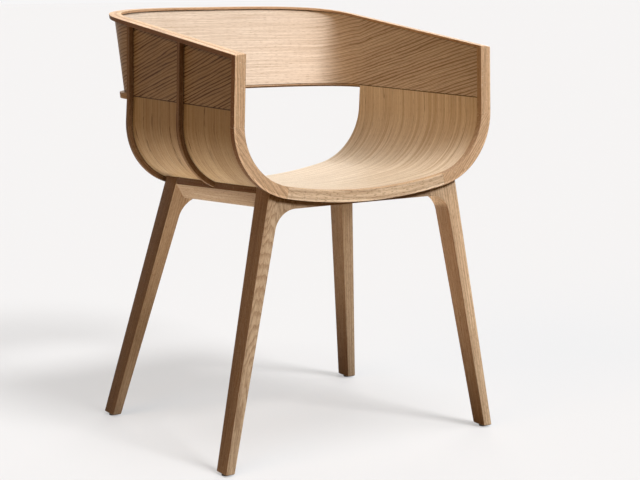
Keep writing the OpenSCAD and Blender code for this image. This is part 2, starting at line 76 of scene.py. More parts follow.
# How far apart in the tree two pieces are cut: along, across and through the grain, in metres
CUT_STEP = (0.13, 0.31, 0.17)

# A grain direction with a y share from here on counts as running near y
NEAR_Y = 0.8


def lerp(a, b, t):
    return a + (b - a) * t


# The shell's sections, as in the part's source

def crown(depth):
    """The crown's radius and centre height, and the turn's centre height and start angle."""
    t = depth / RING_DEPTH
    radius = lerp(CROWN_FRONT_R, CROWN_REAR_R, t)
    centre = lerp(SEAT_FRONT_Z, SEAT_REAR_Z, t) + radius
    angle = math.asin(TURN_X / (radius - TURN_R))
    return radius, centre, centre - (radius - TURN_R) * math.cos(angle), angle


def leaning(depth, x, z):
    """A point of the section that starts from a depth and leans back below the lower back rail."""
    lean = REAR_SLOPE * max(0, depth - FRAME_T) / (RING_DEPTH - FRAME_T)
    return [x, depth + lean * max(0, LEAN_Z - z), z]


def crown_point(depth, off, a):
    radius, centre, _, _ = crown(depth)
    return leaning(depth, (radius + off) * math.sin(a), centre - (radius + off) * math.cos(a))


def turn_point(depth, off, a):
    _, _, turn_z, _ = crown(depth)
    return leaning(depth, TURN_X + (TURN_R + off) * math.sin(a), turn_z - (TURN_R + off) * math.cos(a))


def wall_point(depth, off, z):
    turn_z = crown(depth)[2]
    return leaning(depth, lerp(SHELL_HALF, SEAM_HALF, (z - turn_z) / (SEAM_Z - turn_z)) + off, z)


def half_section(depth, off):
    """The right half of a section, from the middle of the seat up to the seam."""
    _, _, turn_z, angle = crown(depth)
    points = [crown_point(depth, off, angle * i / CROWN_STEPS) for i in range(CROWN_STEPS)]
    points += [turn_point(depth, off, lerp(angle, math.pi / 2, i / TURN_STEPS)) for i in range(TURN_STEPS + 1)]
    points += [wall_point(depth, off, lerp(turn_z, LEAN_Z, i / WALL_STEPS)) for i in range(1, WALL_STEPS + 1)]
    return points + [wall_point(depth, off, SEAM_Z)]


def across(half):
    """Both halves of a section, from its left end to its right end."""
    return [[-p[0], p[1], p[2]] for p in half[:0:-1]] + half


# The band, ruled between its low and its top edge.
# A station is (False, depth) along the side, or (True, angle) round the back corner.

def plan(station, off, half, start, back, exponent):
    corner, value = station
    if not corner:
        return half + off, value
    return ((half + off) * max(math.cos(value), 0.0) ** (2 / exponent),
            start + (back - start + off) * math.sin(value) ** (2 / exponent))


def low_point(station, off):
    x, depth = plan(station, off, SEAM_HALF, RING_DEPTH + TURN_LOW, BACK_LOW, LOW_EXPONENT)
    return np.array([x, depth, SEAM_Z])


def top_point(station, off):
    x, depth = plan(station, off, TOP_HALF, RING_DEPTH + TURN_TOP, BACK_TOP, TOP_EXPONENT)
    return np.array([x, depth, ARM_Z + ARM_SLOPE * depth])


def from_top(station, off, rise):
    """A point of the band at a height over its top edge."""
    a, b = low_point(station, off), top_point(station, off)
    return list(lerp(a, b, 1 + rise / (b[2] - a[2])))


def from_low(station, off, rise):
    """A point of the band at a height over its low edge."""
    a, b = low_point(station, off), top_point(station, off)
    return list(lerp(a, b, rise / (b[2] - a[2])))


def corner_angle(share):
    """Corner angles, closer together near both ends, where the squared corner's points spread."""
    return math.pi / 2 * (0.5 - 0.5 * math.cos(math.pi * share))


CORNER = [(True, corner_angle(i / CORNER_STEPS)) for i in range(CORNER_STEPS + 1)]
SIDE = [(False, depth) for depth in np.linspace(FRAME_T, RING_DEPTH, SIDE_STATIONS)]


def mirrored(rings):
    return [[[-p[0], p[1], p[2]] for p in ring] for ring in rings]


def on_side(sign, run):
    """A direction on the right side, turned to the side of the sign."""
    return sign * run[0], run[1], run[2]


def both_sides(rings):
    """Rings from the right side to the middle of the back, and on to the left side."""
    return rings + mirrored(rings)[-2::-1]


# Grain: each vertex holds where it lies in its own piece of wood, along, across and through, in metres.
# Each piece has its own seed, so that no two show the same grain.

def lengths(points):
    """How far each point lies along the path."""
    steps = np.linalg.norm(np.diff(np.array(points), axis=0), axis=1)
    return np.concatenate([[0.0], np.cumsum(steps)])


def grain_axes(along, spare):
    """The directions along, across and through the grain. Spare serves where the grain runs near y."""
    axis = Vector(along).normalized()
    side = axis.cross(Vector((0, 1, 0) if abs(axis.y) < NEAR_Y else spare)).normalized()
    return axis, side, axis.cross(side)


def cut_at(seed, along, side, through):
    """Grain coordinates in metres, moved to the place in the tree that the seed stands for."""
    return [value + step * seed for value, step in zip((along, side, through), CUT_STEP)]


def straight_grain(rings, along, seed):
    """Grain that runs straight along a direction through the piece."""
    axes = grain_axes(along, (1, 0, 0))
    return [[cut_at(seed, *(axis.dot(Vector(p)) * MM for axis in axes)) for p in ring] for ring in rings]


def swept_grain(rings, seed):
    """Grain that follows a piece from ring to ring."""
    run = lengths([np.mean(np.array(ring), axis=0) for ring in rings])
    base = np.array(rings[0])
    off = (base - base.mean(axis=0)) * MM
    return [[cut_at(seed, s * MM, p[0], p[2]) for p in off] for s in run]


def hoop_grain(rings, seed):
    """Grain that follows a hoop whose ring is an outer path and back along an inner path."""
    out = []
    for ring in rings:
        n = len(ring) // 2
        run = lengths(ring[:n])
        run = np.concatenate([run, run[::-1]]) - run[n // 2]
        out.append([cut_at(seed, run[i] * MM, ring[i][1] * MM, 0.0 if i < n else -RIB_H * MM)
                    for i in range(2 * n)])
    return out


# Meshes

def solid(name, rings, grain, nodes, material, long_rings=False, ease=EASE, laminae=None):
    """A closed mesh through rings of points, eased along its long edges, that stands for CAD nodes.

    Long rings run out and back along the piece, and the others lie across it. The laminae say how far
    from the inside each point of a ring is, which is 1 on the way out and 0 on the way back unless given.
    """
    n = len(rings[0])
    laminae = laminae or [1.0 - i // (n // 2) for i in range(n)]
    mesh = bpy.data.meshes.new(name)
    bm = bmesh.new()
    layer = bm.verts.layers.float_vector.new("grain")
    weight = bm.edges.layers.float.new("bevel_weight_edge")
    lamina = bm.verts.layers.float.new("lamina")
    grid = []
    for ring, coords in zip(rings, grain):
        row = []
        for p, g, share in zip(ring, coords, laminae):
            v = bm.verts.new((p[0] * MM, (p[1] - OVERALL_DEPTH / 2) * MM, p[2] * MM))
            v[layer] = g
            v[lamina] = share
            row.append(v)
        grid.append(row)
    for a, b in zip(grid, grid[1:]):
        for i in range(n):
            bm.faces.new((a[i], b[i], b[(i + 1) % n], a[(i + 1) % n]))
    for row in (grid[0], grid[-1]):
        if long_rings:
            for i in range(n // 2 - 1):
                bm.faces.new((row[i], row[i + 1], row[n - 2 - i], row[n - 1 - i]))
        else:
            bm.faces.new(row)
    bmesh.ops.recalc_face_normals(bm, faces=bm.faces)
    ends = set(grid[0]) | set(grid[-1])
    for e in bm.edges:
        if len(e.link_faces) != 2 or e.calc_face_angle() < math.radians(EASED_ANGLE):
            continue
        in_end = e.verts[0] in ends and e.verts[1] in ends
        e[weight] = 1.0 if in_end == long_rings else END_SHARE
    bm.to_mesh(mesh)
    bm.free()
    return dress(name, mesh, nodes, material, ease, "WEIGHT")


def dress(name, mesh, nodes, material, ease, limit):
    """Puts a mesh into the scene with its material and eased edges, in the place of its CAD nodes."""
    mesh.polygons.foreach_set("use_smooth", [True] * len(mesh.polygons))
    obj = bpy.data.objects.new(name, mesh)
    bpy.context.scene.collection.objects.link(obj)
    mesh.materials.append(material)
    bevel = obj.modifiers.new("ease", "BEVEL")
    bevel.width = ease * MM
    bevel.segments = EASE_SEGMENTS
    bevel.limit_method = limit
    bevel.angle_limit = math.radians(COPY_ANGLE)
    bevel.harden_normals = True
    bevel.use_clamp_overlap = True
    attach(obj, "root")
    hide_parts(*nodes)
    return obj


def eased_copy(node, along, seed, material, ease=LEG_EASE, tone=1.0):
    """A CAD node's own shape with eased edges and grain along an axis, darker with painted shade where its tone is
    low.
    """
    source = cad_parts[node]
    bm = bmesh.new()
    bm.from_mesh(source.data)
    bm.transform(source.matrix_world)
    bmesh.ops.remove_doubles(bm, verts=bm.verts, dist=WELD)
    bmesh.ops.dissolve_limit(bm, angle_limit=math.radians(LEVEL_ANGLE), verts=bm.verts, edges=bm.edges)
    layer = bm.verts.layers.float_vector.new("grain")
    lamina = bm.verts.layers.float.new("lamina")
    axis, side, through = grain_axes(along, (0, 0, 1))
    low, high = (Vector(c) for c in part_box(node))
    middle = (low + high) / 2
    # The tone is painted shade, one for the whole piece
    for v in bm.verts:
        v[lamina] = tone
        place = v.co - middle
        v[layer] = (axis.dot(place) + CUT_STEP[0] * seed, side.dot(place), through.dot(place))
    mesh = bpy.data.meshes.new("eased_" + node)
    bm.to_mesh(mesh)
    bm.free()
    return dress("eased_" + node, mesh, [node], material, ease, "ANGLE")


# Wood, from the grain coordinates. Noise has scales along, across and through the grain, per metre

# The radius of the eased edges that get a painted highlight, the reach of the painted shade in corners and the
# depths of the reliefs, in metres
EDGE_RADIUS, CORNER_SHADE_REACH = 0.0012, 0.012
WOOD_RELIEF, VENEER_RELIEF, RELIEF_STRENGTH = 0.00025, 0.0002, 0.6
MATT_OIL = {"specular": 0.06, "tint": (0.85, 0.55, 0.35)}
PORE_SHADE, RAY_LIGHT = (0.38, 0.26, 0.16), (0.34, 0.29, 0.22)
PLAIN = (1.0, 1.0, 1.0)


class Nodes:
    """Short calls for building a node tree."""

    def __init__(self, name):
        self.material = bpy.data.materials.new(name)
        self.material.use_nodes = True
        self.tree = self.material.node_tree
        self.tree.nodes.clear()

    def add(self, kind, **values):
        node = self.tree.nodes.new(kind)
        for key, value in values.items():
            setattr(node, key, value)
        return node

    def link(self, out, into):
        self.tree.links.new(out, into)

    def math(self, op, a, b=None, c=None):
        node = self.add("ShaderNodeMath", operation=op)
        for socket, value in zip(node.inputs, (a, b, c)):
            if value is None:
                continue
            if isinstance(value, (int, float)):
                socket.default_value = value
            else:
                self.link(value, socket)
        return node.outputs[0]

    def scaled(self, vector, scale):
        node = self.add("ShaderNodeVectorMath", operation="MULTIPLY")
        self.link(vector, node.inputs[0])
        node.inputs[1].default_value = scale
        return node.outputs[0]

    def noise(self, vector, scale, detail=3.0, rough=0.55):
        node = self.add("ShaderNodeTexNoise")
        self.link(self.scaled(vector, scale), node.inputs["Vector"])
        node.inputs["Scale"].default_value = 1.0
        node.inputs["Detail"].default_value = detail
        node.inputs["Roughness"].default_value = rough
        return node.outputs[0]

    def ramp(self, value, stops):
        node = self.add("ShaderNodeValToRGB")
        while len(node.color_ramp.elements) < len(stops):
            node.color_ramp.elements.new(0.5)
        for element, (place, colour) in zip(node.color_ramp.elements, stops):
            if isinstance(colour, (int, float)):
                colour = (colour, colour, colour)
            element.position = place
            element.color = (*colour, 1)
        self.link(value, node.inputs[0])
        return node.outputs[0]

    def split(self, vector):
        """The three numbers of a vector."""
        node = self.add("ShaderNodeSeparateXYZ")
        self.link(vector, node.inputs[0])
        return node.outputs

    def attribute(self, name, kind):
        return self.add("ShaderNodeAttribute", attribute_name=name).outputs[kind]

    def mix(self, kind, factor, a, b):
        node = self.add("ShaderNodeMix", data_type="RGBA", blend_type=kind)
        for socket, value in zip((node.inputs[0], node.inputs[6], node.inputs[7]), (factor, a, b)):
            if isinstance(value, (int, float)):
                socket.default_value = value
            elif isinstance(value, tuple):
                socket.default_value = (*value, 1)
            else:
                self.link(value, socket)
        return node.outputs[2]

    def shaded(self, tone, share, shade):
        """The tone times the shade, as far as the share says."""
        return self.mix("MULTIPLY", share, tone, shade)

    def edges(self):
        """1 on the eased edges, which get a painted highlight, 0 on flat wood."""
        soft = self.add("ShaderNodeBevel", samples=4)
        soft.inputs["Radius"].default_value = EDGE_RADIUS
        turn = self.add("ShaderNodeVectorMath", operation="DOT_PRODUCT")
        self.link(soft.outputs[0], turn.inputs[0])
        self.link(self.add("ShaderNodeNewGeometry").outputs["Normal"], turn.inputs[1])
        return self.ramp(turn.outputs["Value"], [(0.75, 1.0), (0.97, 0.0)])

    def corner_shade(self):
        """Painted shade: dark in the corners where the piece meets its neighbours, 1 on open wood."""
        near = self.add("ShaderNodeAmbientOcclusion", samples=6)
        near.inputs["Distance"].default_value = CORNER_SHADE_REACH
        return self.ramp(near.outputs["AO"], [(0.50, 0.06), (0.60, 0.28), (0.72, 1.0)])

    def finish(self, colour, rough, height, relief, specular=0.35, tint=PLAIN):
        """The material's surface, with a relief of a depth where the height is 1."""
        shader = self.add("ShaderNodeBsdfPrincipled")
        out = self.add("ShaderNodeOutputMaterial")
        self.link(colour, shader.inputs["Base Color"])
        self.link(rough, shader.inputs["Roughness"])
        shader.inputs["Specular IOR Level"].default_value = specular
        shader.inputs["Specular Tint"].default_value = (*tint, 1)
        node = self.add("ShaderNodeBump")
        node.inputs["Strength"].default_value = RELIEF_STRENGTH
        node.inputs["Distance"].default_value = relief
        self.link(height, node.inputs["Height"])
        self.link(node.outputs[0], shader.inputs["Normal"])
        self.link(shader.outputs[0], out.inputs["Surface"])
        return self.material


def wood(name, light, middle, dark, ring=0.0055, wave=0.35, contrast=0.55, heart=(0.012, 0.09), fleck=0.3,
         laminae=(), cone=None, side_shade=None, edge_highlight=(0.16, 0.12, 0.08)):
    """Oak: growth rings round a heart beside the piece, pores, rays and slow changes of tone.

    The heart lies its two distances off, across and through the grain. A cone tilts it away from the piece
    at a slope, up to an end along the grain, which gives arches. The side colour is painted shade on the
    faces that look to the left and right.
    """
    n = Nodes(name)
    grain = n.attribute("grain", "Vector")
    along, side, deep = n.split(grain)
    drift = n.noise(grain, (3.2, 22, 22), 2)
    wobble = n.noise(grain, (14, 120, 120), 3)
    beside = n.math("ADD", n.math("PINGPONG", side, CUT_STEP[1]), heart[0])
    through = n.math("ADD", n.math("PINGPONG", deep, CUT_STEP[2]), heart[1])
    if cone:
        slope, end = cone
        before = n.math("MAXIMUM", n.math("SUBTRACT", end, along), 0.0)
        through = n.math("ADD", through, n.math("MULTIPLY", before, slope))
    radius = n.math("SQRT", n.math("ADD", n.math("MULTIPLY", beside, beside), n.math("MULTIPLY", through, through)))
    rings = n.math("DIVIDE", radius, ring)
    rings = n.math("ADD", rings, n.math("MULTIPLY", drift, 7.0 * wave))
    rings = n.math("ADD", rings, n.math("MULTIPLY", wobble, 1.6 * wave))
    late = n.ramp(n.math("FRACT", rings), [(0.0, 0.15), (0.42, 0.0), (0.80, 0.75), (0.93, 1.0), (1.0, 0.15)])
    strand = n.noise(grain, (9, 620, 620), 3, 0.6)
    pores = n.ramp(n.noise(grain, (120, 1500, 1500), 2, 0.5), [(0.54, 0.0), (0.66, 1.0)])
    rays = n.ramp(n.noise(grain, (560, 190, 190), 2, 0.5), [(0.64, 0.0), (0.72, 1.0)])
    tone = n.mix("MIX", n.math("MULTIPLY", n.noise(grain, (1.3, 9, 9), 3), 1.1), light, middle)
    if laminae:
        tone = n.shaded(tone, 1.0, n.ramp(n.attribute("lamina", "Fac"), laminae))
    # Painted shade: faces that look to the left or right are darkened
    if side_shade:
        normal = n.split(n.add("ShaderNodeNewGeometry").outputs["Normal"])
        tone = n.shaded(tone, 1.0, n.ramp(n.math("ABSOLUTE", normal[0]), [(0.80, PLAIN), (0.93, side_shade)]))
    tone = n.mix("MIX", n.math("MULTIPLY", late, contrast), tone, dark)
    gaps = n.ramp(strand, [(0.32, 1.0), (0.62, 0.0)])
    tone = n.shaded(tone, n.math("MULTIPLY", gaps, 0.5), (0.48, 0.36, 0.25))
    tone = n.shaded(tone, n.math("MULTIPLY", pores, 0.6), PORE_SHADE)
    tone = n.mix("SCREEN", n.math("MULTIPLY", rays, fleck), tone, RAY_LIGHT)
    # Painted highlight: the eased edges are lightened, as where edges catch the light
    tone = n.mix("SCREEN", n.math("MULTIPLY", n.edges(), 0.5), tone, edge_highlight)
    rough = n.math("ADD", n.math("MULTIPLY", strand, 0.18), n.math("ADD", n.math("MULTIPLY", late, -0.06), 0.42))
    height = n.math("SUBTRACT", n.math("MULTIPLY", late, 0.3), n.math("MULTIPLY", pores, 0.9))
    return n.finish(tone, rough, height, WOOD_RELIEF, **MATT_OIL)


VENEER_LIGHT, VENEER_MIDDLE, VENEER_DARK = (0.80, 0.69, 0.585), (0.70, 0.585, 0.475), (0.11, 0.048, 0.018)
# Painted shade: the outer sheet, on the outside of the shell, is darker and warmer than the inner sheet
OUTER_SHEET_SHADE = (0.72, 0.645, 0.525)
SEAM_SHADE = (0.10, 0.07, 0.05)

# In metres: half the width of the dark line along the seam, and how far slow noise moves the veneer's lines
SEAM_LINE, LINE_DRIFT = 0.0008, 0.024

# How dark a broad and a narrow line are from one side of their pitch (0) to the other (1)
BROAD_LINE = [(0.0, 0.3), (0.22, 0.0), (0.55, 0.12), (0.82, 1.0), (0.93, 1.0), (1.0, 0.3)]
NARROW_LINE = [(0.0, 0.0), (0.93, 0.0), (0.96, 1.0), (0.975, 1.0), (1.0, 0.0)]


def veneer(name, line, fine, wave, bold_share, thin_share, streak, calm_middle, profile, tint=PLAIN):
    """Oak veneer: nearly parallel lines of changing width and darkness, streaks and pores.

    The bold and the fine lines' pitches are in metres. Each of the two shares has one value for the inner
    sheet and one for the outer sheet.
    """
    n = Nodes(name)
    grain = n.attribute("grain", "Vector")
    along, side, deep = n.split(grain)
    drift = n.noise(grain, (2.6, 14, 0), 2)
    wobble = n.noise(grain, (11, 90, 0), 3)
    sheet = n.math("DIVIDE", deep, SKIN_T * MM)

    def by_sheet(inner, outer):
        return n.ramp(sheet, [(0.3, inner), (0.7, outer)])

    def lines(pitch, bend, shape):
        rings = n.math("DIVIDE", side, pitch)
        rings = n.math("ADD", rings, n.math("MULTIPLY", drift, LINE_DRIFT * wave / pitch))
        rings = n.math("ADD", rings, n.math("MULTIPLY", wobble, bend * wave))
        return n.ramp(n.math("FRACT", rings), shape)
    bold = lines(line, 2.2, profile)
    thin = lines(fine, 2.6, BROAD_LINE)
    strength = n.ramp(n.noise(grain, (1.5, 42, 0), 3, 0.6), [(0.31, 0.35), (0.54, 1.0)])
    # A ramp ends at 1, which here is half a metre from the middle
    from_middle = n.math("MULTIPLY", n.math("ABSOLUTE", along), 2.0)
    calm = n.ramp(from_middle, [(0.36, calm_middle), (0.62, 1.0)])
    strength = n.math("MULTIPLY", n.math("MULTIPLY", strength, calm), by_sheet(*bold_share))
    thin_strength = n.math("MULTIPLY", calm, by_sheet(*thin_share))
    strand = n.noise(grain, (7, 520, 0), 3, 0.6)
    pores = n.ramp(n.noise(grain, (95, 1300, 0), 2, 0.5), [(0.52, 0.0), (0.64, 1.0)])
    tone = n.mix("MIX", n.math("MULTIPLY", n.noise(grain, (0.9, 16, 0), 3), 1.1), VENEER_LIGHT, VENEER_MIDDLE)
    streaks = n.ramp(n.noise(grain, (2.0, 130, 0), 3, 0.65), [(0.36, 1.0), (0.60, 0.0)])
    tone = n.shaded(tone, n.math("MULTIPLY", streaks, streak), (0.60, 0.48, 0.36))
    tone = n.mix("MIX", n.math("MULTIPLY", bold, strength), tone, VENEER_DARK)
    tone = n.mix("MIX", n.math("MULTIPLY", thin, thin_strength), tone, VENEER_DARK)
    gaps = n.ramp(strand, [(0.34, 1.0), (0.60, 0.0)])
    tone = n.shaded(tone, n.math("MULTIPLY", gaps, 0.35), (0.46, 0.34, 0.23))
    tone = n.shaded(tone, n.math("MULTIPLY", pores, 0.3), PORE_SHADE)
    # Painted shade on the outer sheet
    tone = n.shaded(tone, 1.0, n.shaded(by_sheet(PLAIN, OUTER_SHEET_SHADE), 1.0, tint))
    over_floor = n.split(n.add("ShaderNodeTexCoord").outputs["Object"])[2]
    off_seam = n.math("ABSOLUTE", n.math("SUBTRACT", over_floor, SEAM_Z * MM))
    seam = n.ramp(n.math("DIVIDE", off_seam, 2 * SEAM_LINE), [(0.35, 1.0), (0.7, 0.0)])
    tone = n.shaded(tone, n.math("MULTIPLY", seam, 0.9), SEAM_SHADE)
    # Painted shade in the corners where the band and seat meet other pieces
    tone = n.shaded(tone, 1.0, n.corner_shade())
    rough = n.math("ADD", n.math("MULTIPLY", strand, 0.16), n.math("ADD", n.math("MULTIPLY", bold, -0.05), 0.38))
    height = n.math("SUBTRACT", n.math("MULTIPLY", bold, 0.3), n.math("MULTIPLY", pores, 0.9))
    return n.finish(tone, rough, height, VENEER_RELIEF, **MATT_OIL)


# Oak's tones, and strips of shades over them from the inside of a piece (0) to its outside (1); the strips' ends,
# on a piece's inner and outer faces, are painted shade
LIGHT, MIDDLE, DARK = (0.785, 0.56, 0.37), (0.68, 0.465, 0.285), (0.26, 0.15, 0.08)
# The third leg colour is painted shade for the faces that look to the left and right
LEG_LIGHT, LEG_MIDDLE, LEG_SIDE_SHADE = (0.83, 0.63, 0.43), (0.72, 0.52, 0.34), (0.51, 0.46, 0.43)
# Painted shade on the pieces' outer faces and on their inner lip faces
OUTER_FACE_SHADE, LIP_FACE_SHADE = (0.38, 0.29, 0.23), (0.80, 0.70, 0.62)
# The frame's darker inner face, at 0, is painted shade
FRAME_STRIPS = [(0.0, (0.66, 0.66, 0.68)), (0.03, PLAIN), (0.68, (0.98, 0.97, 0.96)), (0.78, (0.88, 0.86, 0.84)),
                (0.82, (1.2, 1.22, 1.24)), (0.97, (1.2, 1.22, 1.24)), (1.0, OUTER_FACE_SHADE)]
BOW_STRIPS = [(0.0, LIP_FACE_SHADE)] + FRAME_STRIPS[1:]
TOP_STRIPS = [(0.0, LIP_FACE_SHADE), (0.03, (1.12, 1.14, 1.08)), (0.34, (1.08, 1.1, 1.04)), (0.40, (0.84, 0.75, 0.70)),
              (0.56, (0.88, 0.79, 0.74)), (0.62, (1.14, 1.12, 1.10)), (0.97, (1.14, 1.12, 1.10)), (1.0, OUTER_FACE_SHADE)]

# A leg has one painted shade all over, black at 0 and plain at 1
LEG_SHADES = [(0.0, (0.0, 0.0, 0.0)), (1.0, PLAIN)]

OAK_FRAME = wood("oak_frame", LIGHT, MIDDLE, DARK, ring=0.0042, wave=0.5, contrast=0.42, fleck=0.9,
                 laminae=FRAME_STRIPS)
OAK_BOW = wood("oak_bow", (0.85, 0.68, 0.49), (0.755, 0.58, 0.405), (0.34, 0.21, 0.125), ring=0.0034, wave=0.6,
               contrast=0.4, fleck=0.5, laminae=BOW_STRIPS)
OAK_TOP = wood("oak_top", (0.72, 0.535, 0.375), (0.62, 0.445, 0.295), DARK, ring=0.005, wave=0.3, contrast=0.4,
               laminae=TOP_STRIPS)
OAK_RAIL = wood("oak_rail", (0.56, 0.41, 0.28), (0.47, 0.33, 0.21), DARK, ring=0.005, wave=0.3, contrast=0.5)
# The side rail's darker faces to the left and right are painted shade
OAK_SIDE_RAIL = wood("oak_side_rail", (0.52, 0.42, 0.315), (0.45, 0.355, 0.26), DARK, ring=0.005, wave=0.3,
                     contrast=0.3, side_shade=(0.32, 0.215, 0.135))
OAK_LEG = wood("oak_leg", LEG_LIGHT, LEG_MIDDLE, DARK, ring=0.0045, wave=0.25, contrast=0.4, heart=(0.10, 0.05),
               laminae=LEG_SHADES, side_shade=LEG_SIDE_SHADE)
OAK_FIGURED = wood("oak_figured", LEG_LIGHT, LEG_MIDDLE, (0.24, 0.13, 0.06), ring=0.0042, wave=1.1, contrast=0.58,
                   heart=(0.0, 0.008), laminae=LEG_SHADES, cone=(0.24, 1.75), side_shade=LEG_SIDE_SHADE)
# The ribs' dark tones are painted shade, and their light edge colour is a painted highlight
OAK_RIB = wood("oak_rib", (0.29, 0.18, 0.10), (0.23, 0.135, 0.07), (0.12, 0.065, 0.035), ring=0.0035, wave=0.3,
               edge_highlight=(0.55, 0.45, 0.34))
BAND_VENEER = veneer("band_veneer", line=0.0062, fine=0.0024, wave=0.6, bold_share=(0.68, 1.0),
                     thin_share=(0.5, 0.45), streak=0.18, calm_middle=0.10, profile=BROAD_LINE)
SEAT_VENEER = veneer("seat_veneer", line=0.031, fine=0.0029, wave=0.35, bold_share=(0.4, 0.9),
                     thin_share=(0.09, 0.30), streak=0.5, calm_middle=0.35, profile=NARROW_LINE,
                     tint=(1.0, 1.0, 0.93))


# Pieces

def seat_shell():
    """The bent seat: its outer sheet from left to right, and back along the inner sheet."""
    rings = [across(half_section(depth, SKIN_T)) + across(half_section(depth, 0))[::-1]
             for depth in np.linspace(0, RING_DEPTH - FRAME_T, SKIN_RINGS) + FRAME_T]
    grain = []
    for ring in rings:
        n = len(ring) // 2
        run = lengths(ring[n:])[::-1]
        run = (np.concatenate([run, run[::-1]]) - run[n // 2]) * MM
        grain.append([[run[i], p[1] * MM, SKIN_T * MM if i < n else 0.0] for i, p in enumerate(ring)])
    solid("bent_seat", rings, grain, ["seat_shell"], SEAT_VENEER, long_rings=True, ease=PLY_EASE)


def rib(name, node, front, seed):
    """A hoop round the shell, and on up to the top rail over both arms."""
    def path(depth, off):
        half = half_section(depth, off)
        top = from_top((False, depth), off, -RAIL_FACE)
        return across(half + [[lerp(a, b, i / WALL_STEPS) for a, b in zip(half[-1], top)]
                              for i in range(1, WALL_STEPS + 1)])
    rings = [path(depth, PROUD) + path(depth, SKIN_T)[::-1] for depth in (front, front + RIB_T)]
    solid(name, rings, hoop_grain(rings, seed), [node], OAK_RIB, long_rings=True)


# The veneer's lines climb toward the front along the sides: the angle in degrees, and how far from the
# middle of the back that starts and is full, in millimetres
FAN_OUTSIDE, FAN_INSIDE = (17.5, 90, 190), (14.5, 185, 255)


def band_grain(rings):
    """Level across the back, and fanning up toward the front along the sides."""
    run = lengths([ring[3] for ring in rings])
    middle = len(run) // 2
    run -= run[middle]

    def climb(angle, start, full):
        share = np.clip((np.abs(run) - start) / (full - start), 0, 1)
        sums = np.concatenate([[0], np.cumsum(0.5 * (share[1:] + share[:-1]) * np.abs(np.diff(run)))])
        return math.tan(math.radians(angle)) * np.interp(np.abs(run), run[middle:], sums[middle:] - sums[middle])
    outside, inside = climb(*FAN_OUTSIDE), climb(*FAN_INSIDE)

    def coordinate(r, i, p):
        rise, through = (inside[r], 0.0) if i in (0, 3) else (outside[r], SKIN_T * MM)
        return [run[r] * MM, (p[2] - SEAM_Z - rise) * MM, through]
    return [[coordinate(r, i, p) for i, p in enumerate(ring)] for r, ring in enumerate(rings)]


def back_band():
    """The bent band over the seam, with its top edge inside the top rail."""
    rings = both_sides([[from_top(s, 0, RAIL_CANT - RAIL_LIP), from_top(s, SKIN_T, RAIL_CANT - RAIL_LIP),
                         from_low(s, SKIN_T, 0), from_low(s, 0, 0)] for s in SIDE + CORNER])
    solid("bent_band", rings, band_grain(rings), ["back_band"], BAND_VENEER, ease=PLY_EASE)


def top_ring(s):
    """The canted top rail across: from its inner top corner outward, down, and back over the band."""
    return [from_top(s, -LIP, RAIL_CANT), from_top(s, PROUD, 0), from_top(s, PROUD, -RAIL_FACE),
            from_top(s, SKIN_T, -RAIL_FACE), from_top(s, SKIN_T, RAIL_CANT - RAIL_LIP),
            from_top(s, -LIP, RAIL_CANT - RAIL_LIP)]


# How far from the inside each of the top rail's six lines is, and how its right corner runs
TOP_LAMINAE = [0.0, 1.0, 1.0, 0.6, 0.6, 0.0]
RAIL_CHORD = (-1, -0.9, 0)

# The joint between a rail corner and the back rail is this one of the part's own equal corner steps
PART_JOINT, PART_STEPS = 8, 14


def joint_index():
    """The corner step that is nearest to the part's joint."""
    target = math.pi / 2 * PART_JOINT / PART_STEPS
    return min(range(len(CORNER)), key=lambda i: abs(CORNER[i][1] - target))


def top_piece(name, node, rings, grain):
    solid(name, rings, grain, [node], OAK_TOP, laminae=TOP_LAMINAE)


def top_rail():
    """The top rail's five pieces: two arms, two corners and the back."""
    joint = joint_index()
    arms = [top_ring(s) for s in SIDE]
    corners = [top_ring(s) for s in [(False, RING_DEPTH)] + CORNER[:joint + 1]]
    back = both_sides([top_ring(s) for s in CORNER[joint:]])
    for side, seed, sign in (("right", 5, 1), ("left", 2, -1)):
        arm, corner = (arms, corners) if side == "right" else (mirrored(arms), mirrored(corners))
        chord = on_side(sign, RAIL_CHORD)
        top_piece("arm_top_" + side, "arm_rail_" + side, arm, swept_grain(arm, seed))
        top_piece("corner_top_" + side, "rail_corner_" + side, corner, straight_grain(corner, chord, seed + 1))
    top_piece("back_top", "back_rail", back, swept_grain(back, seed=9))


def low_back_rail():
    """The rail round the band's low edge, across the open back."""
    def ring(s):
        up, down = BACK_RAIL_UP, BACK_RAIL_UP - BACK_RAIL_FACE
        return [from_low(s, 0, 0), from_low(s, SKIN_T, 0), from_low(s, SKIN_T, up), from_low(s, PROUD, up),
                from_low(s, PROUD, down), from_low(s, SKIN_T, down), from_low(s, SKIN_T, -BACK_RAIL_LIP),
                from_low(s, 0, -BACK_RAIL_LIP)]
    rings = both_sides([ring(s) for s in [(False, RING_DEPTH)] + CORNER])
    solid("low_back", rings, swept_grain(rings, seed=12), ["lower_back_rail"], OAK_RAIL)


# How the front frame's right corner runs
FRAME_CHORD = (0.6, 0, 0.8)


def frame_piece(name, node, rings, grain, material):
    solid(name, rings, grain, [node], material, long_rings=True)


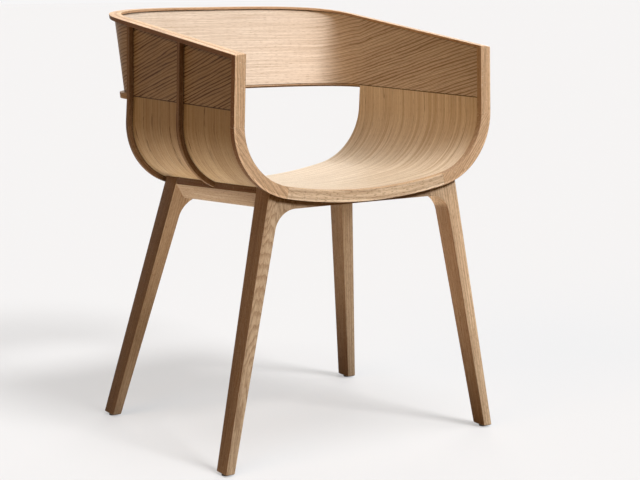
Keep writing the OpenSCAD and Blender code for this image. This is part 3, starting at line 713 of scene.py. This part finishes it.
def front_frame():
    """The front frame's five pieces: the bow, two corners and two uprights."""
    _, _, turn_z, angle = crown(0)

    def arc(point, start, end, depth):
        angles = [lerp(start, end, i / FRAME_STEPS) for i in range(FRAME_STEPS + 1)]
        path = [point(0, PROUD, a) for a in angles] + [point(0, -LIP, a) for a in angles[::-1]]
        return [[p[0], depth, p[2]] for p in path]

    def upright(depth):
        s = (False, depth)
        return [from_top(s, PROUD, 0), [SEAM_HALF + PROUD, depth, SEAM_Z], [SHELL_HALF + PROUD, depth, turn_z],
                [SHELL_HALF - LIP, depth, turn_z], [SEAM_HALF - LIP, depth, SEAM_Z], from_top(s, -LIP, RAIL_CANT)]
    bow = [arc(crown_point, -angle, angle, depth) for depth in (0, FRAME_T)]
    corners = [arc(turn_point, angle, math.pi / 2, depth) for depth in (0, FRAME_T)]
    posts = [upright(depth) for depth in (0, FRAME_T)]
    frame_piece("bow", "front_bow", bow, hoop_grain(bow, seed=3), OAK_BOW)
    for side, seed, sign in (("right", 4, 1), ("left", 7, -1)):
        corner, post = (corners, posts) if side == "right" else (mirrored(corners), mirrored(posts))
        chord = on_side(sign, FRAME_CHORD)
        frame_piece("frame_corner_" + side, "front_corner_" + side, corner, straight_grain(corner, chord, seed),
                    OAK_FRAME)
        frame_piece("frame_post_" + side, "front_upright_" + side, post, straight_grain(post, (0, 0, 1), seed + 1),
                    OAK_FRAME)


# The legs and rails: how the right ones run, and the painted shade of the front and the rear leg of each side,
# darker for the rear legs under the seat and for the left legs
FRONT_LEG_RUN, REAR_LEG_RUN, SIDE_RAIL_RUN = (83, 0, -430), (80, 100, -430), (0, 1, -0.0555)
FRONT_LEG = {"left": OAK_FIGURED, "right": OAK_LEG}
LEG_PAINTED_SHADE = {"left": (0.76, 0.58), "right": (1.0, 0.75)}


def base():
    """The legs and rails, with the CAD model's own shapes."""
    for side, sign in (("left", -1), ("right", 1)):
        front, rear = LEG_PAINTED_SHADE[side]
        eased_copy("leg_front_" + side, on_side(sign, FRONT_LEG_RUN), 14 + sign, FRONT_LEG[side], tone=front)
        eased_copy("leg_rear_" + side, on_side(sign, REAR_LEG_RUN), 18 + sign, OAK_LEG, tone=rear)
        eased_copy("side_rail_" + side, SIDE_RAIL_RUN, 22 + sign, OAK_SIDE_RAIL, ease=RAIL_EASE)
    for node, seed in (("front_rail", 26), ("rear_rail", 29)):
        eased_copy(node, (1, 0, 0), seed, OAK_RAIL, ease=RAIL_EASE)


def carried(name, colour, rough, scale, relief):
    """A plain material with fine variation, for the small hidden pieces that keep their CAD shape."""
    n = Nodes(name)
    place = n.add("ShaderNodeTexCoord").outputs["Object"]
    fine = n.noise(place, (scale, scale, scale), 4)
    tone = n.mix("MIX", fine, tuple(c * 0.8 for c in colour), tuple(min(c * 1.15, 1) for c in colour))
    return n.finish(tone, n.math("ADD", n.math("MULTIPLY", fine, 0.2), rough), fine, relief)


def small_pieces():
    """Materials for the dowels, screws and glides."""
    kinds = {"dowels": carried("beech_peg", (0.60, 0.42, 0.26), rough=0.5, scale=900, relief=0.0002),
             "screws": carried("zinc_screw", (0.55, 0.55, 0.54), rough=0.3, scale=1500, relief=0.00005),
             "glide": carried("glide_nylon", (0.045, 0.036, 0.03), rough=0.45, scale=700, relief=0.00008)}
    for name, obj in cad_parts.items():
        for word, material in kinds.items():
            if word in name.split("_"):
                for place in obj.material_slots:
                    place.material = material


# Stage, light and camera

def seen_ray(tree):
    """1 for the rays that show the background: straight from the camera, and in gloss and glass."""
    path = tree.nodes.new("ShaderNodeLightPath")
    seen = path.outputs["Is Camera Ray"]
    for kind in ("Is Glossy Ray", "Is Transmission Ray"):
        most = tree.nodes.new("ShaderNodeMath")
        most.operation = "MAXIMUM"
        tree.links.new(seen, most.inputs[0])
        tree.links.new(path.outputs[kind], most.inputs[1])
        seen = most.outputs[0]
    return seen


# The floor's half size, what rays that show it see, and what it sends up to the chair: the colours near
# a place and far from it, in metres, and a power that fades on surfaces close to the floor
FLOOR_HALF = 30
FLOOR_SEEN, FLOOR_GLOW, FLOOR_POWER = (0.35, 0.347, 0.349), (0.945, 0.97, 1.0), 0.43
FLOOR_NEAR, FLOOR_FAR = (0.94, 0.86, 0.76), (0.012, 0.007, 0.003)
BOUNCE_PLACE, BOUNCE_INNER, BOUNCE_OUTER, BOUNCE_POWER = (-0.22, -0.06, 0.0), 0.06, 0.26, 12.0
BOUNCE_NEAR, BOUNCE_FULL = 0.26, 0.46


def stage():
    """A pale floor. Seen directly it is even, and a patch of it under the chair sends up a warm bounce."""
    mesh = bpy.data.meshes.new("floor")
    outline = [(x * FLOOR_HALF, y * FLOOR_HALF, 0) for x, y in ((-1, -1), (1, -1), (1, 1), (-1, 1))]
    mesh.from_pydata(outline, [], [(0, 1, 2, 3)])
    floor = bpy.data.objects.new("floor", mesh)
    bpy.context.scene.collection.objects.link(floor)
    n = Nodes("floor_pale")
    seen = seen_ray(n.tree)
    place = n.add("ShaderNodeTexCoord").outputs["Object"]
    far = n.add("ShaderNodeVectorMath", operation="DISTANCE")
    n.link(place, far.inputs[0])
    far.inputs[1].default_value = BOUNCE_PLACE
    bounce = n.ramp(far.outputs["Value"], [(BOUNCE_INNER, FLOOR_NEAR), (BOUNCE_OUTER, FLOOR_FAR)])
    shader = n.add("ShaderNodeBsdfPrincipled")
    n.link(n.mix("MIX", seen, bounce, FLOOR_SEEN), shader.inputs["Base Color"])
    n.link(n.mix("MIX", seen, bounce, FLOOR_GLOW), shader.inputs["Emission Color"])
    length = n.add("ShaderNodeLightPath").outputs["Ray Length"]
    power = n.math("MULTIPLY", n.ramp(length, [(BOUNCE_NEAR, 0.0), (BOUNCE_FULL, 1.0)]), BOUNCE_POWER)
    unseen = n.math("SUBTRACT", 1.0, seen)
    power = n.math("MULTIPLY_ADD", power, unseen, n.math("MULTIPLY", seen, FLOOR_POWER))
    n.link(power, shader.inputs["Emission Strength"])
    shader.inputs["Roughness"].default_value = 0.9
    shader.inputs["Specular IOR Level"].default_value = 0.0
    out = n.add("ShaderNodeOutputMaterial")
    n.link(shader.outputs[0], out.inputs["Surface"])
    mesh.materials.append(n.material)


# How far off the lights stand, in metres, and the surroundings as a light and as the camera sees them
SUN_DISTANCE = 5
WORLD_FILL, WORLD_FILL_POWER = (1.0, 0.74, 0.48), 0.02
WORLD_SEEN, WORLD_SEEN_POWER = (0.97, 0.965, 0.965), 0.96


def soft_sun(name, azimuth, height, spread, power, colour):
    """A broad soft light. The azimuth turns from the front to the right; angles are in degrees."""
    azimuth, height = math.radians(azimuth), math.radians(height)
    way = Vector((math.sin(azimuth) * math.cos(height), -math.cos(azimuth) * math.cos(height), math.sin(height)))
    data = bpy.data.lights.new(name, "SUN")
    data.angle, data.energy, data.color = math.radians(spread), power, colour
    obj = bpy.data.objects.new(name, data)
    bpy.context.scene.collection.objects.link(obj)
    obj.location = SUN_DISTANCE * way
    obj.rotation_euler = way.to_track_quat("Z", "Y").to_euler()


def lighting():
    """Four soft lights, and a background that is pale to the camera and gives hardly any light."""
    soft_sun("key", azimuth=13, height=43, spread=18, power=2.95, colour=PLAIN)
    soft_sun("top", azimuth=10, height=76, spread=30, power=1.6, colour=PLAIN)
    soft_sun("fill", azimuth=-75, height=30, spread=40, power=0.84, colour=(1.0, 0.60, 0.25))
    soft_sun("rear", azimuth=140, height=32, spread=40, power=1.1, colour=(1.0, 0.96, 0.9))
    world = bpy.data.worlds.new("studio")
    bpy.context.scene.world = world
    world.use_nodes = True
    tree = world.node_tree
    tree.nodes.clear()
    soft, pale = tree.nodes.new("ShaderNodeBackground"), tree.nodes.new("ShaderNodeBackground")
    soft.inputs[0].default_value, soft.inputs[1].default_value = (*WORLD_FILL, 1), WORLD_FILL_POWER
    pale.inputs[0].default_value, pale.inputs[1].default_value = (*WORLD_SEEN, 1), WORLD_SEEN_POWER
    mixer, out = tree.nodes.new("ShaderNodeMixShader"), tree.nodes.new("ShaderNodeOutputWorld")
    tree.links.new(seen_ray(tree), mixer.inputs[0])
    tree.links.new(soft.outputs[0], mixer.inputs[1])
    tree.links.new(pale.outputs[0], mixer.inputs[2])
    tree.links.new(mixer.outputs[0], out.inputs[0])
    bpy.context.scene.view_settings.view_transform = "Standard"


# The photo's camera, as solved: place and end of view in metres, angles in radians, sensor in millimetres
CAMERA_PLACE = (-1.52115, -2.18949 - OVERALL_DEPTH * MM / 2, 0.81464)
CAMERA_YAW, CAMERA_PITCH = 0.577142281, 0.167362927
FOCAL_PIXELS, IMAGE_WIDTH, SENSOR_WIDTH = 1627.3077, 640, 36
VIEW_END = 60


def camera():
    data = bpy.data.cameras.new("camera")
    data.sensor_width = SENSOR_WIDTH
    data.lens = FOCAL_PIXELS / IMAGE_WIDTH * SENSOR_WIDTH
    data.clip_end = VIEW_END
    obj = bpy.data.objects.new("camera", data)
    bpy.context.scene.collection.objects.link(obj)
    right = Vector((math.cos(CAMERA_YAW), -math.sin(CAMERA_YAW), 0))
    ahead = Vector((math.sin(CAMERA_YAW) * math.cos(CAMERA_PITCH), math.cos(CAMERA_YAW) * math.cos(CAMERA_PITCH),
                    -math.sin(CAMERA_PITCH)))
    up = right.cross(ahead)
    turn = Matrix((right, up, -ahead)).transposed()
    obj.matrix_world = Matrix.Translation(CAMERA_PLACE) @ turn.to_4x4()
    bpy.context.scene.camera = obj


seat_shell()
rib("middle_rib", "mid_rib", front=MID_RIB_DEPTH - RIB_T / 2, seed=31)
rib("back_rib", "rear_rib", front=RING_DEPTH - RIB_T, seed=33)
back_band()
top_rail()
low_back_rail()
front_frame()
base()
small_pieces()
stage()
lighting()
camera()
